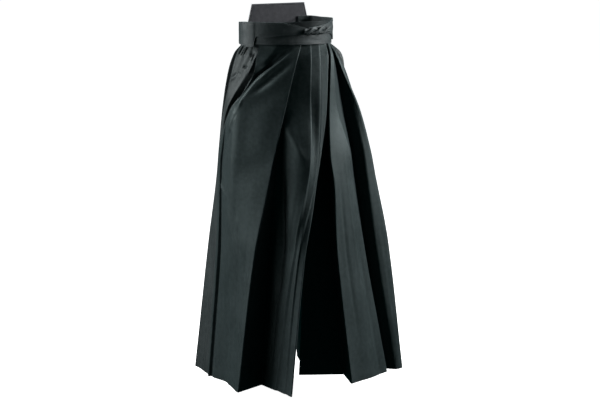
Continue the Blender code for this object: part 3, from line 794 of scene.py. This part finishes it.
# ======== back ties
# Broad flat ties from the two ends of the back board, brought to the front. The wearer's right
# one folds narrower at the hip and passes over the band, and both end under the twist.
BACK_TIE_RIGHT = (
    ("on the board",           -156,  8.2,  -5,  31),
    ("along the board",        -150,  12.8, -5,  31.5),
    ("board's end",            -143,  20.8, -6,  32),
    ("past the board",         -133,  19,   -9,  35),
    ("behind the hip",         -118,  9,    -13, 40),
    ("side",                   -98,   5.8,  -16, 44),
    ("side front",             -75,   7.0,  -17, 48.5),
    ("folded edge",            -57,   7.8,  -16, 49.5),
    ("out of the fold",        -55,   6.4,  7,   49.5),
    ("over the band",          -44,   5.8,  8,   49.5),
    ("front",                  -18,   5.8,  13,  47.5),
    ("centre",                 1,     5.8,  15,  39),
    ("under the knot",         12.3,  5.8,  16,  32),
)
BACK_TIE_LEFT = (
    ("on the board",           150.6, 12.5, -5,  44),
    ("along the board",        141.5, 23.9, -5,  45),
    ("board's end",            136,   29,   -7,  44.5),
    ("behind the hip",         121,   18,   -11, 44),
    ("side",                   98,    6.5,  -13, 46.5),
    ("side front",             74,    5.8,  -9,  48),
    ("folds down",             56.6,  5.8,  9,   42),
    ("front",                  40,    5.8,  14,  37),
    ("under the knot",         15,    5.8,  15,  33),
)
TIE_RIGHT_CREASES = (
    ("pull",                  (-58, 12),    (-8, 17),      3,   -0.9),
    ("pull",                  (-110, 20),   (-66, 26),     5,   0.6),
    ("pull",                  (-96, 2),     (-60, 6),      5,   -0.6),
)
TIE_LEFT_CREASES = (
    ("pull",                  (96, 20),     (50, 26),      5,   0.7),
    ("pull",                  (88, 34),     (46, 32),      4,   -0.7),
    ("pull",                  (84, 4),      (56, 18),      5,   -0.6),
)
tie_grids = []
for side, stations, creases, flat, area, seed in (
        ("right", BACK_TIE_RIGHT, TIE_RIGHT_CREASES, (0.347, 0.067), 0.0162, 61),
        ("left", BACK_TIE_LEFT, TIE_LEFT_CREASES, (0.277, 0.060), 0.0127, 67)):
    grid, piece = ribbon_piece(f"back_tie_{side}_winding", stations, creases, seed, tie_twill_painted_light)
    tie_grids.append(grid)
    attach(piece, "root")
    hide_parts(f"back_tie_{side}")

# ======== twisted tuck
# The ends of the two back ties, folded lengthwise, twisted round each other along the front of
# the waist and tucked in, so that nothing hangs.
KNOT_FROM_X = 18.0
KNOT_TO_X = 102.0
KNOT_OUT = 12.6
KNOT_LEVEL = 23.5
KNOT_RISE = 6.2
KNOT_DEPTH = 2.9
KNOT_TURNS = 1.5
KNOT_TAPER = 0.35
KNOT_RINGS = 72
STRAND_HIGH = 11.0
STRAND_THICK = 4.4
STRAND_SIDES = 28
STRAND_FOLDS = 5
STRAND_TWIST = 9                  # how far the folds turn round the strand along its length
STRAND_SHARP = 60.0
FOLD_DEPTH = 0.16


def closed_piece(name, shape, finish):
    """A piece from a closed shape, with its faces turned outwards."""
    bmesh.ops.recalc_face_normals(shape, faces=shape.faces)
    mesh = bpy.data.meshes.new(name)
    shape.to_mesh(mesh)
    shape.free()
    mesh.attributes.new("pressed", "FLOAT", "POINT")
    mesh.materials.append(finish)
    mesh.shade_smooth()
    return put(name, mesh)


for number, phase in ((1, 0.0), (2, pi)):
    a = WAIST_A + KNOT_OUT
    b = WAIST_B + KNOT_OUT
    shape = bmesh.new()
    rings = []
    for t in np.linspace(0, 1, KNOT_RINGS):
        x0 = KNOT_FROM_X + t * (KNOT_TO_X - KNOT_FROM_X)
        y0 = -b * (1 - (x0 / a) ** 2) ** 0.5
        out = unit(x0 / a ** 2, y0 / b ** 2)
        wind = 2 * pi * KNOT_TURNS * t + phase
        taper = 1 - KNOT_TAPER * abs(2 * t - 1) ** 3
        shift = -KNOT_DEPTH * sin(wind)
        level = KNOT_LEVEL + KNOT_RISE * cos(wind) * taper
        ring = []
        for k in range(STRAND_SIDES):
            around = 2 * pi * k / STRAND_SIDES
            ripple = 0.5 + 0.5 * cos(STRAND_FOLDS * around + STRAND_TWIST * t)
            fold = 1 - FOLD_DEPTH * ripple ** 2
            away = shift + 0.5 * STRAND_THICK * cos(around) * fold
            point = (x0 + out[0] * away, y0 + out[1] * away,
                     level + 0.5 * STRAND_HIGH * taper * sin(around) * fold)
            ring.append(shape.verts.new([c * MM for c in point]))
        rings.append(ring)
    laid = shape.loops.layers.uv.new("cloth")
    for i, (first, second) in enumerate(zip(rings, rings[1:])):
        for k in range(STRAND_SIDES):
            on = (k + 1) % STRAND_SIDES
            face = shape.faces.new((first[k], first[on], second[on], second[k]))
            for loop, (u, v) in zip(face.loops, ((i, k), (i, k + 1), (i + 1, k + 1), (i + 1, k))):
                loop[laid].uv = (u * MM, v * MM)
    shape.faces.new(rings[0])
    shape.faces.new(rings[-1])
    piece = closed_piece(f"tie_twist_{number}", shape, tie_twill_painted_light)
    piece.data.set_sharp_from_angle(angle=radians(STRAND_SHARP))
    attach(piece, "root")
    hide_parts(f"knot_strand_{number}")

# ======== back board
# A stiff board, narrower at the top, covered in the same twill over a thin pad, coloured much
# lighter than the skirt's as painted light. The cover's edge is turned and stitched a few
# millimetres in, and its face is bare.
BOARD_CENTRE_X = 10.0
BOARD_TOP_WIDTH = 155.0
BOARD_FOOT_WIDTH = 196.0
BOARD_HEIGHT = 90.0
BOARD_THICK = 7.0
BOARD_FOOT_Z = -8.0
BOARD_FRONT_Y = 91.4
BOARD_EDGE = 3.0
BOARD_ACROSS = 86                 # points across and up each face
BOARD_UP = 54
BOARD_CROWDING = 0.155
BOARD_SEAM = 5.0
SEAM_DENT = 0.35
SEAM_WIDTH = 1.1
TOP_WEAR = 2.5
SAME_POINT = 0.00005
# Several times lighter than the skirt's twill: painted light on the board's face.
board_twill_painted_light = twill_finish("board_twill_painted_light", (0.05, 0.051, 0.058, 1), (0.095, 0.095, 0.105, 1),
                           0.6, 0.08, gloss=(1.0, 1.0, 1.0, 1), ribbing=0.12)


def board_width(t):
    return BOARD_FOOT_WIDTH + t * (BOARD_TOP_WIDTH - BOARD_FOOT_WIDTH)


def board_point(s, t, face):
    """A point on one face of the board: s across and t up, both from 0 to 1."""
    width = board_width(t)
    inset = min(s * width, (1 - s) * width, t * BOARD_HEIGHT, (1 - t) * BOARD_HEIGHT)
    round_off = max(0.0, 1 - inset / BOARD_EDGE)
    half = 0.5 * BOARD_THICK * (1 - round_off ** 2) ** 0.5
    half -= SEAM_DENT * np.exp(-((inset - BOARD_SEAM) / SEAM_WIDTH) ** 2)
    return (BOARD_CENTRE_X + (s - 0.5) * width, BOARD_FRONT_Y + 0.5 * BOARD_THICK + face * half,
            BOARD_FOOT_Z + t * BOARD_HEIGHT)


def crowded(count):
    """Positions from 0 to 1, closer together near both ends."""
    t = np.linspace(0, 1, count)
    return t - BOARD_CROWDING * np.sin(2 * pi * t)


shape = bmesh.new()
laid = shape.loops.layers.uv.new("cloth")
for face_side in (-1, 1):
    made = [[shape.verts.new([c * MM for c in board_point(s, t, face_side)])
             for s in crowded(BOARD_ACROSS)] for t in crowded(BOARD_UP)]
    for lower, upper in zip(made, made[1:]):
        for k in range(len(lower) - 1):
            corners = (lower[k], lower[k + 1], upper[k + 1], upper[k])
            face = shape.faces.new(corners if face_side < 0 else corners[::-1])
            for loop in face.loops:
                loop[laid].uv = (loop.vert.co.x + 0.5, loop.vert.co.z + 0.5)
bmesh.ops.remove_doubles(shape, verts=shape.verts, dist=SAME_POINT)
board = closed_piece("back_board_cover", shape, board_twill_painted_light)
wear = board.data.attributes["pressed"].data
for vertex in board.data.vertices:
    below = BOARD_FOOT_Z + BOARD_HEIGHT - vertex.co.z / MM
    wear[vertex.index].value = float(np.exp(-(below / TOP_WEAR) ** 2))
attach(board, "root")
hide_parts("back_board")

# ======== stitching
# Black polyester thread: top-stitching on the band, ties and board, small pricks round the hems,
# and short stitches down the edges of the slits.
THREAD_RADIUS = 0.0003
OFF_CLOTH = 0.1                   # mm that stitches stand off the cloth and off the board
OFF_BOARD = 0.15
HEM_ROW = -5
SLIT = slice(4, 70)               # the rows of cloth beside the open slits
SEAM_POINTS = 40
thread, tree, shader = material("black_thread")
plies = speckle(tree, node(tree, "ShaderNodeTexCoord").outputs["Object"], 700.0)
ramp = node(tree, "ShaderNodeValToRGB", {"Fac": plies})
ramp.color_ramp.elements[0].color = (0.010, 0.013, 0.014, 1)
ramp.color_ramp.elements[1].color = (0.045, 0.052, 0.055, 1)
fill(shader, {"Base Color": ramp.outputs["Color"], "Roughness": 0.42, "Sheen Weight": 0.1})

# Short six-sided stitches set along a line of points, each turned to lie along it.
stitcher, given, sewn = group("stitches_along_a_line", "GeometryNodeTree",
                              {"Line": "Geometry", "Pitch": "Float", "Stitch Length": "Float",
                               "Thread Radius": "Float", "Thread": "Material"},
                              {"Stitches": "Geometry"})
curve = node(stitcher, "GeometryNodeMeshToCurve", {"Mesh": given["Line"]})
spaced = node(stitcher, "GeometryNodeResampleCurve",
              {"Curve": curve.outputs["Curve"], "Length": given["Pitch"]}, mode="LENGTH")
heading = node(stitcher, "GeometryNodeInputTangent")
turned = node(stitcher, "FunctionNodeAlignRotationToVector",
              {"Vector": heading.outputs["Tangent"]}, axis="Z")
stitch = node(stitcher, "GeometryNodeMeshCylinder",
              {"Vertices": 6, "Radius": given["Thread Radius"], "Depth": given["Stitch Length"]})
laid_down = node(stitcher, "GeometryNodeInstanceOnPoints",
                 {"Points": spaced.outputs["Curve"], "Instance": stitch.outputs["Mesh"],
                  "Rotation": turned.outputs["Rotation"]})
real = node(stitcher, "GeometryNodeRealizeInstances", {"Geometry": laid_down.outputs["Instances"]})
dressed = node(stitcher, "GeometryNodeSetMaterial",
               {"Geometry": real.outputs["Geometry"], "Material": given["Thread"]})
fill(sewn, {"Stitches": dressed.outputs["Geometry"]})
socket_ids = {socket.name: socket.identifier for socket in stitcher.interface.items_tree}


def off_cloth(grid, wall):
    """The cloth's outer face, which stitches lie on."""
    return grid + outward(grid) * (0.5 * wall / MM + OFF_CLOTH)


def stitched(name, lines, pitch, length):
    """Stitches along several lines of points (mm), as one piece."""
    mesh = bpy.data.meshes.new(name)
    points = []
    edges = []
    for line in lines:
        edges += [(len(points) + i, len(points) + i + 1) for i in range(len(line) - 1)]
        points += [tuple(c * MM for c in p) for p in line]
    mesh.from_pydata(points, edges, [])
    piece = put(name, mesh)
    sewing = piece.modifiers.new("sewing", "NODES")
    sewing.node_group = stitcher
    for label, value in (("Pitch", pitch), ("Stitch Length", length),
                         ("Thread Radius", THREAD_RADIUS), ("Thread", thread)):
        sewing[socket_ids[label]] = value
    as_mesh(piece)
    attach(piece, "root")


band_face = off_cloth(band_grid, BAND_CLOTH)
stitched("band_stitches", [band_face[1], band_face[-2]], pitch=0.0036, length=0.0026)
tie_lines = [off_cloth(grid, BAND_CLOTH)[row] for grid in tie_grids for row in (1, -2)]
stitched("tie_stitches", tie_lines, pitch=0.0042, length=0.003)
right_face = off_cloth(right_grid, CLOTH)
left_face = off_cloth(left_grid, CLOTH)
stitched("hem_stitches", [right_face[HEM_ROW], left_face[HEM_ROW]],
         pitch=0.009, length=0.0016)
stitched("slit_stitches", [right_face[SLIT, 1], left_face[SLIT, -2]],
         pitch=0.006, length=0.003)
board_lines = []
round_board = ((0, 0), (1, 0), (1, 1), (0, 1), (0, 0))
for face_side in (-1, 1):
    for (s0, t0), (s1, t1) in zip(round_board, round_board[1:]):
        line = []
        for k in np.linspace(0, 1, SEAM_POINTS):
            s = s0 + k * (s1 - s0)
            t = t0 + k * (t1 - t0)
            width = board_width(t)
            s = BOARD_SEAM / width + s * (1 - 2 * BOARD_SEAM / width)
            t = BOARD_SEAM / BOARD_HEIGHT + t * (1 - 2 * BOARD_SEAM / BOARD_HEIGHT)
            x, y, z = board_point(s, t, face_side)
            line.append((x, y + face_side * OFF_BOARD, z))
        board_lines.append(line)
stitched("board_stitches", board_lines, pitch=0.0036, length=0.0026)

# ======== floor and light
# Plain pale floor, and soft square lamps: two at the wearer's right, a strong one at the left, a
# faint one in front and a faint one near the floor.
FLOOR_LEVEL = -1.06
FLOOR_REACH = 30
LAMP_AIM = (0.0, 0.0, -0.45)
WHITE = (1.0, 1.0, 1.0, 1)
corners = ((-1, -1), (1, -1), (1, 1), (-1, 1))
floor_mesh = bpy.data.meshes.new("floor")
floor_mesh.from_pydata([(x * FLOOR_REACH, y * FLOOR_REACH, 0) for x, y in corners],
                       [], [(0, 1, 2, 3)])
floor = put("floor", floor_mesh)
floor.location = (0, 0, FLOOR_LEVEL)
paint, _, shader = material("pale_floor")
fill(shader, {"Base Color": (0.9, 0.9, 0.9, 1), "Roughness": 0.9, "Specular IOR Level": 0.1,
              "Emission Color": WHITE, "Emission Strength": 1.0})
floor_mesh.materials.append(paint)
floor.visible_diffuse = False
floor.visible_glossy = False

world = bpy.context.scene.world or bpy.data.worlds.new("studio")
bpy.context.scene.world = world
world.use_nodes = True
tree = world.node_tree
room = fill(tree.nodes["Background"], {"Color": (0.10, 1.0, 0.98, 1), "Strength": 0.025})
backdrop = node(tree, "ShaderNodeBackground", {"Color": WHITE, "Strength": 1.0})
seen = node(tree, "ShaderNodeLightPath").outputs["Is Camera Ray"]
either = node(tree, "ShaderNodeMixShader", {0: seen, 1: room.outputs[0], 2: backdrop.outputs[0]})
fill(tree.nodes["World Output"], {"Surface": either.outputs[0]})

for name, place, size, power in (("lamp_left_back", (-2.58, 1.09, 0.7), 1.1, 65),
                                 ("lamp_left_front", (-2.76, 0.22, 0.72), 1.1, 68),
                                 ("lamp_right", (2.7, -0.67, 0.8), 1.1, 176),
                                 ("lamp_front", (2.2, -1.7, 0.8), 1.1, 3),
                                 ("lamp_low", (-1.7, -0.5, -0.85), 0.5, 2.5)):
    lamp = put(name, bpy.data.lights.new(name, "AREA"))
    lamp.data.shape = "SQUARE"
    lamp.data.size = size
    lamp.data.energy = power
    stand(lamp, place, LAMP_AIM)
